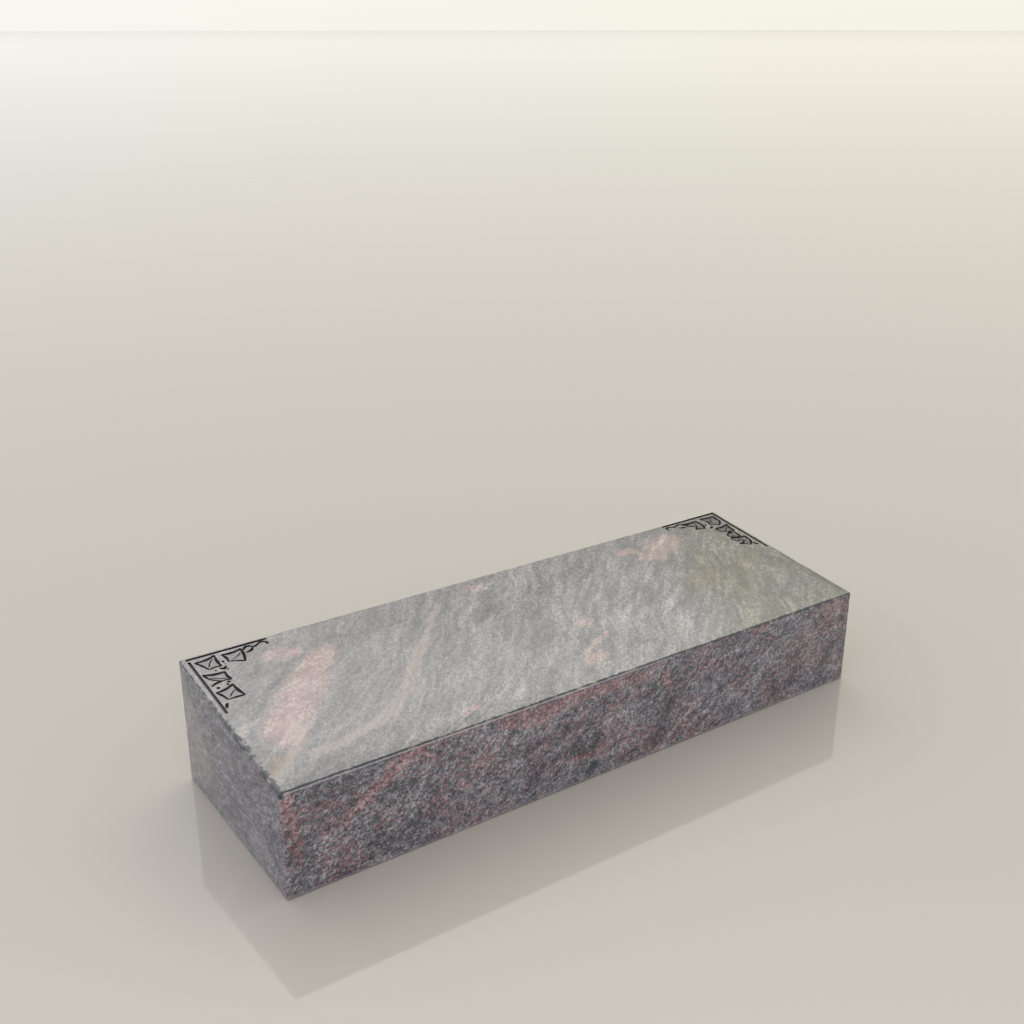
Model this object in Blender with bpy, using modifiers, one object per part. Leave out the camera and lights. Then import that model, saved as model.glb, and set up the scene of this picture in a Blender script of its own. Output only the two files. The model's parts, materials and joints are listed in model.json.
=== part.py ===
# Bevel grave marker: one granite block, lower in front than behind, with a sloping polished top,
# softened edges and a leaf scroll carved into each back corner of the top.
# Metres, +Z up. X runs along the marker and the front faces -Y. The origin is at the middle of
# the underside.

import math
from collections import namedtuple

import bmesh
import bpy
from mathutils import Vector

# Block
LENGTH = 0.914
DEPTH = 0.2985
FRONT_HEIGHT = 0.143
BACK_HEIGHT = 0.175
EDGE_WIDTH = 0.0025
EDGE_SEGMENTS = 2

# Bars that frame each scroll: one along the back edge, one down the end of the block
BAR_WIDTH = 0.004
BAR_DEPTH = 0.0025
BACK_BAR_LENGTH = 0.110
SIDE_BAR_LENGTH = 0.129

# Stone left between a bar and the softened edge beside it, and between the two bars of a scroll
LEFT_BACK_BAR_CLEARANCE = 0.0014
LEFT_SIDE_BAR_CLEARANCE = 0.0048
LEFT_BAR_GAP = 0.003
RIGHT_BACK_BAR_CLEARANCE = 0.0003
RIGHT_SIDE_BAR_CLEARANCE = 0.0027
RIGHT_BAR_GAP = 0.0

# Line work: the width of a groove and how far it goes down. The ground inside a leaf is sunk,
# and its vein goes down from there.
OUTLINE_WIDTH = 0.0036
OUTLINE_DEPTH = 0.0016
VEIN_WIDTH = 0.0016
VEIN_DEPTH = 0.0007
GROUND_DEPTH = 0.0006
BERRY_DEPTH = 0.0013
BERRY_FLOOR_SHARE = 0.67

# Each scroll is drawn on a square grid. A point is (along the back bar, down the slope) in grid
# steps from where the centre lines of its two bars cross.
GRID_STEP = 0.001

# A leaf is its tips in order round its outline, and how far the side after each tip bends inwards.
# A vein is the stroke inside the leaf of the same number. A stroke is its start, its end, and how
# far its middle stands off the straight line between them. A berry is its centre and radius.
# side is 1 for the scroll at the left end and -1 for the one at the right.
Scroll = namedtuple(
    "Scroll",
    "side back_bar_clearance side_bar_clearance bar_gap leaves veins tendrils dashes berries",
)

LEFT_SCROLL = Scroll(
    side=1,
    back_bar_clearance=LEFT_BACK_BAR_CLEARANCE,
    side_bar_clearance=LEFT_SIDE_BAR_CLEARANCE,
    bar_gap=LEFT_BAR_GAP,
    leaves=(
        (((6.0, 10.6), 2.4), ((33.8, 5.0), 1.2), ((32.9, 31.6), 1.6), ((16.5, 32.2), 0.9)),
        (((42.5, 8.2), 2.5), ((68.9, 6.4), -1.4), ((63.3, 35.3), 1.6), ((44.5, 26.3), 1.6)),
        (((5.2, 40.4), 2.4), ((31.4, 45.5), 1.3), ((32.7, 64.6), 0.8), ((21.6, 62.8), -3.6)),
        (((5.0, 83.8), 2.3), ((29.4, 75.1), 1.2), ((34.0, 103.3), 0.5), ((12.0, 102.8), 1.2)),
    ),
    veins=(
        ((29.3, 10.6), (17.8, 28.4), 1.2),
        ((65.5, 14.4), (50.6, 23.8), -1.0),
        ((11.2, 49.3), (29.2, 59.3), 1.4),
        ((28.4, 87.0), (17.4, 97.6), 1.0),
    ),
    tendrils=(
        ((71.6, 18.1), (84.6, 9.5), 2.6),
        ((84.6, 9.1), (71.4, 11.3), 5.1),
        ((84.0, 9.8), (93.2, 6.0), 1.2),
        ((92.7, 6.3), (105.4, 8.6), -3.4),
        ((105.1, 7.8), (104.4, 12.4), 0.3),
        ((5.1, 69.0), (22.0, 63.6), -1.9),
        ((8.4, 109.7), (4.4, 119.0), 0.6),
    ),
    dashes=(
        ((28.4, 35.9), (34.8, 38.3), 0.4),
        ((37.4, 34.6), (32.4, 41.0), -0.4),
        ((39.4, 21.3), (37.9, 25.8), 0.2),
        ((28.4, 66.5), (27.4, 70.3), 0.2),
        ((25.1, 70.8), (24.3, 74.4), 0.2),
    ),
    berries=(
        ((11.1, 75.1), 2.6),
        ((22.7, 38.4), 1.4),
        ((38.5, 29.2), 1.1),
        ((37.6, 41.6), 1.5),
    ),
)

RIGHT_SCROLL = Scroll(
    side=-1,
    back_bar_clearance=RIGHT_BACK_BAR_CLEARANCE,
    side_bar_clearance=RIGHT_SIDE_BAR_CLEARANCE,
    bar_gap=RIGHT_BAR_GAP,
    leaves=(
        (((6.8, 8.7), 2.2), ((33.8, 5.9), 1.4), ((29.6, 17.6), 1.4), ((30.8, 31.2), 1.5),
         ((18.3, 36.7), -1.4), ((6.8, 24.7), 0.8)),
        (((43.6, 8.7), 2.0), ((74.2, 7.2), 1.4), ((68.0, 17.4), -0.8), ((55.8, 22.2), 1.4),
         ((63.8, 32.7), 2.2), ((48.8, 35.7), -0.9), ((42.3, 22.7), 0.6)),
        (((5.8, 40.2), 2.4), ((31.4, 44.2), -1.6), ((30.3, 57.6), 1.0), ((22.4, 62.4), 1.2),
         ((8.6, 63.2), 1.6)),
        (((12.2, 67.4), -1.6), ((27.0, 67.0), -1.2), ((31.6, 75.4), 1.2), ((20.6, 82.6), 0.6),
         ((12.6, 79.6), 0.9)),
        (((7.2, 85.4), 1.8), ((32.0, 79.4), -1.8), ((30.6, 92.6), 1.0), ((18.9, 95.6), 2.2),
         ((33.6, 101.4), 1.0), ((18.3, 111.2), -1.2), ((8.4, 96.4), 0.8)),
    ),
    veins=(
        ((14.8, 12.6), (24.0, 29.0), -1.4),
        ((48.8, 13.4), (54.4, 26.4), -0.9),
        ((11.0, 46.0), (24.6, 57.4), 1.2),
        ((17.6, 78.0), (24.4, 71.2), 0.8),
        ((24.6, 84.6), (14.8, 99.6), 1.4),
    ),
    tendrils=(
        ((74.4, 8.0), (84.8, 7.7), -2.0),
        ((84.3, 7.4), (96.5, 6.6), 1.6),
        ((96.0, 6.8), (106.0, 8.6), -2.3),
        ((105.6, 7.8), (104.9, 11.8), 0.3),
        ((73.0, 18.4), (84.8, 13.2), 1.3),
        ((11.0, 107.4), (7.0, 116.4), -1.0),
    ),
    dashes=(
        ((26.8, 16.6), (26.4, 24.2), 0.4),
        ((30.8, 35.6), (38.8, 40.8), -0.6),
        ((38.6, 25.2), (39.8, 29.8), 0.3),
        ((62.0, 12.4), (67.2, 12.0), 0.3),
    ),
    berries=(
        ((35.4, 12.6), 1.5),
        ((74.6, 12.0), 1.3),
        ((37.0, 47.0), 1.2),
    ),
)

# How finely the line work is cut
SIDE_STEPS = 6
STROKE_STEPS = 5
TUBE_RESOLUTION = 1
BERRY_SIDES = 10
TIP_TAPER = 0.7
TIP_RUN_ON = 0.4

# How far a cutter stands above the face it cuts
CUTTER_OVERSHOOT = 0.004

# Points of a curve's caps closer than this are one point
WELD_DISTANCE = 0.000001

# Principled BSDF values
GRANITE_COLOUR = (0.23, 0.20, 0.205)
GRANITE_ROUGHNESS = 0.18

SLOPE = math.atan2(BACK_HEIGHT - FRONT_HEIGHT, DEPTH)


def clear_scene():
    for obj in list(bpy.data.objects):
        bpy.data.objects.remove(obj, do_unlink=True)


def new_collection(name):
    collection = bpy.data.collections.new(name)
    bpy.context.scene.collection.children.link(collection)
    return collection


def granite_material():
    material = bpy.data.materials.new("granite")
    material.use_nodes = True
    shader = material.node_tree.nodes["Principled BSDF"]
    shader.inputs["Base Color"].default_value = (*GRANITE_COLOUR, 1.0)
    shader.inputs["Roughness"].default_value = GRANITE_ROUGHNESS
    shader.inputs["Metallic"].default_value = 0.0
    return material


def object_from_bmesh(name, bm, collection):
    mesh = bpy.data.meshes.new(name)
    bm.to_mesh(mesh)
    bm.free()
    obj = bpy.data.objects.new(name, mesh)
    collection.objects.link(obj)
    return obj


def make_block(collection):
    """The block with its sloping top, its edges softened all round."""
    bm = bmesh.new()
    bmesh.ops.create_cube(bm, size=1.0)
    for vertex in bm.verts:
        at_front = vertex.co.y < 0
        top = FRONT_HEIGHT if at_front else BACK_HEIGHT
        vertex.co = Vector((
            vertex.co.x * LENGTH,
            vertex.co.y * DEPTH,
            top if vertex.co.z > 0 else 0.0,
        ))
    block = object_from_bmesh("granite_block", bm, collection)
    edges = block.modifiers.new("softened edges", "BEVEL")
    edges.width = EDGE_WIDTH
    edges.segments = EDGE_SEGMENTS
    edges.limit_method = "ANGLE"
    block.data.materials.append(granite_material())
    return block


def make_corner(name, scroll):
    """An empty on the top face, where the centre lines of a scroll's bars cross. Its X runs along
    the marker and its Y up the slope."""
    corner = bpy.data.objects.new(name, None)
    from_end = EDGE_WIDTH + scroll.side_bar_clearance + BAR_WIDTH / 2
    from_back = EDGE_WIDTH + scroll.back_bar_clearance + BAR_WIDTH / 2
    corner.location = (
        -scroll.side * (LENGTH / 2 - from_end),
        DEPTH / 2 - from_back * math.cos(SLOPE),
        BACK_HEIGHT - from_back * math.sin(SLOPE),
    )
    corner.rotation_euler = (SLOPE, 0.0, 0.0)
    bpy.context.scene.collection.objects.link(corner)
    return corner


def hang_cutter(obj, corner):
    obj.parent = corner
    obj.hide_render = True
    obj.display_type = "WIRE"


def on_grid(point, side):
    """A point of the drawing in the corner's own frame."""
    return Vector((side * point[0] * GRID_STEP, -point[1] * GRID_STEP, 0.0))


def arc_points(start, end, sag, steps, run_on=0.0):
    """Points of a shallow arc from start to end, run on a little past both. A positive sag stands
    off to the right of the way from start to end, with the slope running down the page."""
    start, end = Vector(start), Vector(end)
    run = end - start
    aside = Vector((-run.y, run.x)).normalized()
    spare = run_on / run.length
    shares = [step / steps * (1 + 2 * spare) - spare for step in range(steps + 1)]
    return [start + run * share + aside * (sag * 4 * share * (1 - share)) for share in shares]


def leaf_sides(leaf, run_on=0.0):
    """Each side of a leaf as its points in order, from one tip to the next."""
    sides = []
    for index, (tip, sag) in enumerate(leaf):
        next_tip = leaf[(index + 1) % len(leaf)][0]
        sides.append(arc_points(tip, next_tip, sag, SIDE_STEPS, run_on))
    return sides


def mesh_from_curve(curve_object, collection):
    """The curve's evaluated surface as a mesh object with its caps welded. The curve is removed."""
    graph = bpy.context.evaluated_depsgraph_get()
    mesh = bpy.data.meshes.new_from_object(curve_object.evaluated_get(graph))
    bm = bmesh.new()
    bm.from_mesh(mesh)
    bmesh.ops.remove_doubles(bm, verts=bm.verts, dist=WELD_DISTANCE)
    bmesh.ops.recalc_face_normals(bm, faces=bm.faces)
    bm.to_mesh(mesh)
    bm.free()
    name = curve_object.name
    matrix = curve_object.matrix_world.copy()
    bpy.data.objects.remove(curve_object, do_unlink=True)
    obj = bpy.data.objects.new(name, mesh)
    obj.matrix_world = matrix
    collection.objects.link(obj)
    return obj


def cut_groove(name, points, width, depth, corner, side, collection):
    """A round-bottomed groove along the points, narrower at both ends."""
    tool_radius = (width * width / 4 + depth * depth) / (2 * depth)
    curve = bpy.data.curves.new(name, "CURVE")
    curve.dimensions = "3D"
    curve.twist_mode = "Z_UP"
    curve.bevel_depth = tool_radius
    curve.bevel_resolution = TUBE_RESOLUTION
    curve.use_fill_caps = True
    spline = curve.splines.new("POLY")
    spline.points.add(len(points) - 1)
    lift = Vector((0.0, 0.0, tool_radius - depth))
    last = len(points) - 1
    for index, point in enumerate(points):
        spline.points[index].co = (*(on_grid(point, side) + lift), 1.0)
        fullness = math.sin(math.pi * index / last)
        spline.points[index].radius = TIP_TAPER + (1 - TIP_TAPER) * fullness
    groove = bpy.data.objects.new(name, curve)
    collection.objects.link(groove)
    hang_cutter(mesh_from_curve(groove, collection), corner)


def cut_strokes(name, strokes, width, depth, corner, side, collection):
    """One groove for each stroke of a list."""
    for number, (start, end, sag) in enumerate(strokes, 1):
        points = arc_points(start, end, sag, STROKE_STEPS)
        cut_groove(f"{name}_{number}", points, width, depth, corner, side, collection)


def cut_flat(name, outline, depth, corner, side, collection):
    """A flat-bottomed sinking inside an outline."""
    curve = bpy.data.curves.new(name, "CURVE")
    curve.dimensions = "2D"
    curve.fill_mode = "BOTH"
    curve.extrude = (depth + CUTTER_OVERSHOOT) / 2
    spline = curve.splines.new("POLY")
    spline.points.add(len(outline) - 1)
    for index, point in enumerate(outline):
        spline.points[index].co = (*on_grid(point, side), 1.0)
    spline.use_cyclic_u = True
    flat = bpy.data.objects.new(name, curve)
    collection.objects.link(flat)
    cutter = mesh_from_curve(flat, collection)
    cutter.location.z = (CUTTER_OVERSHOOT - depth) / 2
    hang_cutter(cutter, corner)


def bar_outlines(gap):
    """The two bars as rectangles with a gap between them, or as one L where there is no gap."""
    half = BAR_WIDTH / 2 / GRID_STEP
    right = BACK_BAR_LENGTH / GRID_STEP - half
    foot = SIDE_BAR_LENGTH / GRID_STEP
    back_top = [(-half, -half), (right, -half), (right, half)]
    side_foot = [(half, foot), (-half, foot)]
    if gap == 0:
        return [back_top + [(half, half)] + side_foot]
    start = half + gap / GRID_STEP
    return [back_top + [(-half, half)], [(-half, start), (half, start)] + side_foot]


def cut_berry(name, centre, radius, corner, side, collection):
    """A round pit that narrows a little towards its bottom."""
    bm = bmesh.new()
    height = BERRY_DEPTH + CUTTER_OVERSHOOT
    rim = radius * GRID_STEP
    slant = rim * (1 - BERRY_FLOOR_SHARE) / BERRY_DEPTH
    bmesh.ops.create_cone(
        bm,
        cap_ends=True,
        segments=BERRY_SIDES,
        radius1=rim - slant * BERRY_DEPTH,
        radius2=rim + slant * CUTTER_OVERSHOOT,
        depth=height,
    )
    cutter = object_from_bmesh(name, bm, collection)
    cutter.location = on_grid(centre, side) + Vector((0.0, 0.0, height / 2 - BERRY_DEPTH))
    hang_cutter(cutter, corner)


def carve_corner(name, scroll, collection):
    """Every cutter of one corner's ornament."""
    corner = make_corner(name, scroll)
    side = scroll.side
    for number, outline in enumerate(bar_outlines(scroll.bar_gap), 1):
        cut_flat(f"{name}_bar_{number}", outline, BAR_DEPTH, corner, side, collection)
    for number, leaf in enumerate(scroll.leaves, 1):
        outline = [point for points in leaf_sides(leaf) for point in points[:-1]]
        cut_flat(f"{name}_ground_{number}", outline, GROUND_DEPTH, corner, side, collection)
        for letter, points in enumerate(leaf_sides(leaf, TIP_RUN_ON), 1):
            part = f"{name}_leaf_{number}_{letter}"
            cut_groove(part, points, OUTLINE_WIDTH, OUTLINE_DEPTH, corner, side, collection)
    line = (OUTLINE_WIDTH, OUTLINE_DEPTH)
    vein = (VEIN_WIDTH, GROUND_DEPTH + VEIN_DEPTH)
    cut_strokes(f"{name}_tendril", scroll.tendrils, *line, corner, side, collection)
    cut_strokes(f"{name}_dash", scroll.dashes, *line, corner, side, collection)
    cut_strokes(f"{name}_vein", scroll.veins, *vein, corner, side, collection)
    for number, (centre, radius) in enumerate(scroll.berries, 1):
        cut_berry(f"{name}_berry_{number}", centre, radius, corner, side, collection)


def main():
    clear_scene()
    marker = new_collection("bevel grave marker")
    cutters = new_collection("carving cutters")
    block = make_block(marker)
    carve_corner("left_scroll", LEFT_SCROLL, cutters)
    carve_corner("right_scroll", RIGHT_SCROLL, cutters)
    carving = block.modifiers.new("carving", "BOOLEAN")
    carving.operation = "DIFFERENCE"
    carving.solver = "EXACT"
    carving.operand_type = "COLLECTION"
    carving.collection = cutters


main()
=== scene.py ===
# Bevel grave marker of flow-banded granite: polished faces, worn arrises, a leaf scroll carved into
# each back corner of the top with black painted grooves and frosted leaf grounds.

import json
import math
from collections import namedtuple

import bmesh
import bpy
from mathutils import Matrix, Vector, noise

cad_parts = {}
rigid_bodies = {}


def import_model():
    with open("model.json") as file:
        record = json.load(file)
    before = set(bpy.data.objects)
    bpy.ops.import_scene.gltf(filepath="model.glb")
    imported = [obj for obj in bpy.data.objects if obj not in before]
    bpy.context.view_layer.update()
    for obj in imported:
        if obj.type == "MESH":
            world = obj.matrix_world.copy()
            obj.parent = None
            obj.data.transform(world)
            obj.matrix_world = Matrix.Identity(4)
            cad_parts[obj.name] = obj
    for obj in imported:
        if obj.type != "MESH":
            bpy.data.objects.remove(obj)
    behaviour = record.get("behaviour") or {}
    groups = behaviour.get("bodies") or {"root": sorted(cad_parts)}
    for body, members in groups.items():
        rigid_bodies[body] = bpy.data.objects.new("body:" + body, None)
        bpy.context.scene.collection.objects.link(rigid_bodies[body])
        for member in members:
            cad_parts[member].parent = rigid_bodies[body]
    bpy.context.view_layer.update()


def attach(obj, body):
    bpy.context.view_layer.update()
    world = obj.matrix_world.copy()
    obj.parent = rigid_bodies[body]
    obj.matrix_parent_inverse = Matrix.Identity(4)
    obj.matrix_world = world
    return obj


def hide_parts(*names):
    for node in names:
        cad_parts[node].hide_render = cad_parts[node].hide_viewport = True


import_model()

# Block
LENGTH = 0.914
DEPTH = 0.2985
FRONT_HEIGHT = 0.143
BACK_HEIGHT = 0.175
SLOPE = math.atan2(BACK_HEIGHT - FRONT_HEIGHT, DEPTH)

# Arrises: how wide they are, how many facets go round them, the spacing of points along them, and
# how much they vary
ARRIS_WIDTH = 0.0025
ARRIS_FACETS = 5
ARRIS_PITCH = 0.0016
ARRIS_WANDER = 0.3
CHIP_DEPTH = 0.0006

# Bars that frame each scroll
BAR_WIDTH = 0.004
BAR_DEPTH = 0.0025
BACK_BAR_LENGTH = 0.110
SIDE_BAR_LENGTH = 0.129
EDGE_WIDTH = 0.0025

# Stone left between a bar and the arris beside it, and between the two bars of a scroll
LEFT_BACK_BAR_CLEARANCE = 0.0014
LEFT_SIDE_BAR_CLEARANCE = 0.0048
LEFT_BAR_GAP = 0.003
RIGHT_BACK_BAR_CLEARANCE = 0.0003
RIGHT_SIDE_BAR_CLEARANCE = 0.0027
RIGHT_BAR_GAP = 0.0

# Line work. A leaf's ground is dished over GROUND_BELLY grid steps to each side of its vein
OUTLINE_WIDTH = 0.0042
OUTLINE_DEPTH = 0.0016
VEIN_WIDTH = 0.0021
VEIN_DEPTH = 0.0007
GROUND_DEPTH = 0.0006
GROUND_DISH = 0.0004
GROUND_BELLY = 9.0
BLAST_ROUGHNESS = 0.00008
BERRY_DEPTH = 0.0013
GRID_STEP = 0.001

# Each scroll is drawn on a square grid. A point is (along the back bar, down the slope) in grid
# steps from where the centre lines of its two bars cross.
# A leaf is its tips in order round its outline, and how far the side after each tip bends inwards.
# A vein is the stroke inside the leaf of the same number. A stroke is its start, its end, and how
# far its middle stands off the straight line between them. A berry is its centre and radius.
# side is 1 for the scroll at the left end and -1 for the one at the right.
Scroll = namedtuple(
    "Scroll",
    "side back_bar_clearance side_bar_clearance bar_gap leaves veins tendrils dashes berries",
)

LEFT_SCROLL = Scroll(
    side=1,
    back_bar_clearance=LEFT_BACK_BAR_CLEARANCE,
    side_bar_clearance=LEFT_SIDE_BAR_CLEARANCE,
    bar_gap=LEFT_BAR_GAP,
    leaves=(
        (((6.0, 10.6), 2.4), ((33.8, 5.0), 1.2), ((32.9, 31.6), 1.6), ((16.5, 32.2), 0.9)),
        (((42.5, 8.2), 2.5), ((68.9, 6.4), -1.4), ((63.3, 35.3), 1.6), ((44.5, 26.3), 1.6)),
        (((5.2, 40.4), 2.4), ((31.4, 45.5), 1.3), ((32.7, 64.6), 0.8), ((21.6, 62.8), -3.6)),
        (((5.0, 83.8), 2.3), ((29.4, 75.1), 1.2), ((34.0, 103.3), 0.5), ((12.0, 102.8), 1.2)),
    ),
    veins=(
        ((29.3, 10.6), (17.8, 28.4), 1.2),
        ((65.5, 14.4), (50.6, 23.8), -1.0),
        ((11.2, 49.3), (29.2, 59.3), 1.4),
        ((28.4, 87.0), (17.4, 97.6), 1.0),
    ),
    tendrils=(
        ((71.6, 18.1), (84.6, 9.5), 2.6),
        ((84.6, 9.1), (71.4, 11.3), 5.1),
        ((84.0, 9.8), (93.2, 6.0), 1.2),
        ((92.7, 6.3), (105.4, 8.6), -3.4),
        ((105.1, 7.8), (104.4, 12.4), 0.3),
        ((5.1, 69.0), (22.0, 63.6), -1.9),
        ((8.4, 109.7), (4.4, 119.0), 0.6),
    ),
    dashes=(
        ((28.4, 35.9), (34.8, 38.3), 0.4),
        ((37.4, 34.6), (32.4, 41.0), -0.4),
        ((39.4, 21.3), (37.9, 25.8), 0.2),
        ((28.4, 66.5), (27.4, 70.3), 0.2),
        ((25.1, 70.8), (24.3, 74.4), 0.2),
    ),
    berries=(
        ((11.1, 75.1), 2.6),
        ((22.7, 38.4), 1.4),
        ((38.5, 29.2), 1.1),
        ((37.6, 41.6), 1.5),
    ),
)

RIGHT_SCROLL = Scroll(
    side=-1,
    back_bar_clearance=RIGHT_BACK_BAR_CLEARANCE,
    side_bar_clearance=RIGHT_SIDE_BAR_CLEARANCE,
    bar_gap=RIGHT_BAR_GAP,
    leaves=(
        (((6.8, 8.7), 2.2), ((33.8, 5.9), 1.4), ((29.6, 17.6), 1.4), ((30.8, 31.2), 1.5),
         ((18.3, 36.7), -1.4), ((6.8, 24.7), 0.8)),
        (((43.6, 8.7), 2.0), ((74.2, 7.2), 1.4), ((68.0, 17.4), -0.8), ((55.8, 22.2), 1.4),
         ((63.8, 32.7), 2.2), ((48.8, 35.7), -0.9), ((42.3, 22.7), 0.6)),
        (((5.8, 40.2), 2.4), ((31.4, 44.2), -1.6), ((30.3, 57.6), 1.0), ((22.4, 62.4), 1.2),
         ((8.6, 63.2), 1.6)),
        (((12.2, 67.4), -1.6), ((27.0, 67.0), -1.2), ((31.6, 75.4), 1.2), ((20.6, 82.6), 0.6),
         ((12.6, 79.6), 0.9)),
        (((7.2, 85.4), 1.8), ((32.0, 79.4), -1.8), ((30.6, 92.6), 1.0), ((18.9, 95.6), 2.2),
         ((33.6, 101.4), 1.0), ((18.3, 111.2), -1.2), ((8.4, 96.4), 0.8)),
    ),
    veins=(
        ((14.8, 12.6), (24.0, 29.0), -1.4),
        ((48.8, 13.4), (54.4, 26.4), -0.9),
        ((11.0, 46.0), (24.6, 57.4), 1.2),
        ((17.6, 78.0), (24.4, 71.2), 0.8),
        ((24.6, 84.6), (14.8, 99.6), 1.4),
    ),
    tendrils=(
        ((74.4, 8.0), (84.8, 7.7), -2.0),
        ((84.3, 7.4), (96.5, 6.6), 1.6),
        ((96.0, 6.8), (106.0, 8.6), -2.3),
        ((105.6, 7.8), (104.9, 11.8), 0.3),
        ((73.0, 18.4), (84.8, 13.2), 1.3),
        ((11.0, 107.4), (7.0, 116.4), -1.0),
    ),
    dashes=(
        ((26.8, 16.6), (26.4, 24.2), 0.4),
        ((30.8, 35.6), (38.8, 40.8), -0.6),
        ((38.6, 25.2), (39.8, 29.8), 0.3),
        ((62.0, 12.4), (67.2, 12.0), 0.3),
    ),
    berries=(
        ((35.4, 12.6), 1.5),
        ((74.6, 12.0), 1.3),
        ((37.0, 47.0), 1.2),
    ),
)

# The stone of each place is one material slot, so that a face works out only its own streaks
TOP_STONE, FRONT_STONE, PLAIN_STONE, EDGE_STONE = range(4)

# How finely the line work is cut
SIDE_STEPS = 16
STROKE_STEPS = 12
TUBE_RESOLUTION = 3
TIP_SWELL = 0.7
FULL_SWELL = 1.06
TIP_RUN_ON = 0.4
STROKE_WANDER = 0.26
CUTTER_OVERSHOOT = 0.004
GROUND_CUTS = 7
WELD_DISTANCE = 0.000001
SHARP_ANGLE = 42.0

# A loose piece of the carved block with fewer faces than this is a speck
SPECK_FACES = 200


# Geometry


def new_object(name, mesh, collection=None):
    obj = bpy.data.objects.new(name, mesh)
    (collection or bpy.context.scene.collection).objects.link(obj)
    return obj


def corner_point(x, y, z):
    """An ideal corner of the block, for signs x, y and z."""
    top = FRONT_HEIGHT if y < 0 else BACK_HEIGHT
    return Vector((x * LENGTH / 2, y * DEPTH / 2, top if z > 0 else 0.0))


def corner_axes(signs):
    """Unit vectors from an ideal corner along the three edges that leave it."""
    here = corner_point(*signs)
    axes = []
    for axis in range(3):
        other = list(signs)
        other[axis] = -other[axis]
        axes.append((corner_point(*other) - here).normalized())
    return axes


def quarter(step):
    angle = math.pi / 2 * step / ARRIS_FACETS
    return math.cos(angle), math.sin(angle)


def arris_width_at(point, share):
    """The arris is even at its ends and widens here and there between them."""
    calm = min(1.0, share * 12, (1 - share) * 12)
    slow = noise.noise(point * 38.0)
    quick = noise.noise(point * 210.0 + Vector((7.0, 3.0, 1.0)))
    wear = max(0.0, 0.45 + 0.7 * slow + 0.5 * quick)
    return ARRIS_WIDTH * (1 + ARRIS_WANDER * calm * wear)


def chip_at(point, share):
    """How far the middle of the arris is knocked in."""
    calm = min(1.0, share * 20, (1 - share) * 20)
    knock = noise.noise(point * 150.0 + Vector((2.0, 9.0, 5.0)))
    small = noise.noise(point * 420.0)
    return CHIP_DEPTH * calm * max(0.0, knock * 1.9 - 0.42 + small * 0.5)


def add_strip(bm, signs, axis):
    """The rounded strip along one edge, from the corner with these signs."""
    far = list(signs)
    far[axis] = -far[axis]
    start, end = corner_point(*signs), corner_point(*far)
    near_axes, far_axes = corner_axes(signs), corner_axes(far)
    first, second = [a for a in range(3) if a != axis]
    length = (end - start).length
    count = max(2, round((length - 2 * ARRIS_WIDTH) / ARRIS_PITCH))
    rows = []
    for index in range(count + 1):
        share = index / count
        along = ARRIS_WIDTH + (length - 2 * ARRIS_WIDTH) * share
        edge = start + (end - start) * (along / length)
        b = near_axes[first].lerp(far_axes[first], share).normalized()
        c = near_axes[second].lerp(far_axes[second], share).normalized()
        width = arris_width_at(edge, share)
        chip = chip_at(edge, share)
        inward = (b + c).normalized()
        row = []
        for step in range(ARRIS_FACETS + 1):
            cosine, sine = quarter(step)
            place = edge + (b + c) * width - (b * cosine + c * sine) * width
            place += inward * (chip * 2 * sine * cosine)
            row.append(bm.verts.new(place))
        rows.append(row)
    for low, high in zip(rows, rows[1:]):
        for step in range(ARRIS_FACETS):
            bm.faces.new((low[step], low[step + 1], high[step + 1], high[step])).smooth = True


def add_rounded_corner(bm, signs):
    here = corner_point(*signs)
    a, b, c = corner_axes(signs)
    rows = []
    for row in range(ARRIS_FACETS + 1):
        cosine, sine = quarter(row)
        points = []
        for step in range(row + 1):
            turn = math.pi / 2 * step / row if row else 0.0
            way = a * cosine + b * (sine * math.cos(turn)) + c * (sine * math.sin(turn))
            points.append(bm.verts.new(here + (a + b + c - way) * ARRIS_WIDTH))
        rows.append(points)
    for upper, lower in zip(rows, rows[1:]):
        for step, vertex in enumerate(upper):
            bm.faces.new((vertex, lower[step], lower[step + 1])).smooth = True
            if step:
                bm.faces.new((upper[step - 1], lower[step], vertex)).smooth = True


def block_mesh():
    """The block with every arris as its own fine strip, and each flat as one plane face. Each face
    takes the stone of its place."""
    bm = bmesh.new()
    for axis in range(3):
        for u in (-1, 1):
            for v in (-1, 1):
                signs = [u, v]
                signs.insert(axis, -1)
                add_strip(bm, signs, axis)
    for x in (-1, 1):
        for y in (-1, 1):
            for z in (-1, 1):
                add_rounded_corner(bm, (x, y, z))
    bmesh.ops.remove_doubles(bm, verts=bm.verts, dist=WELD_DISTANCE * 10)
    rim = [edge for edge in bm.edges if edge.is_boundary]
    for face in bm.faces:
        face.material_index = EDGE_STONE
    flats = bmesh.ops.holes_fill(bm, edges=rim, sides=0)["faces"]
    bmesh.ops.recalc_face_normals(bm, faces=bm.faces)
    for face in flats:
        if face.normal.z > 0.9:
            face.material_index = TOP_STONE
        elif face.normal.y < -0.9:
            face.material_index = FRONT_STONE
        else:
            face.material_index = PLAIN_STONE
    mesh = bpy.data.meshes.new("granite_marker")
    bm.to_mesh(mesh)
    bm.free()
    return mesh


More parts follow.
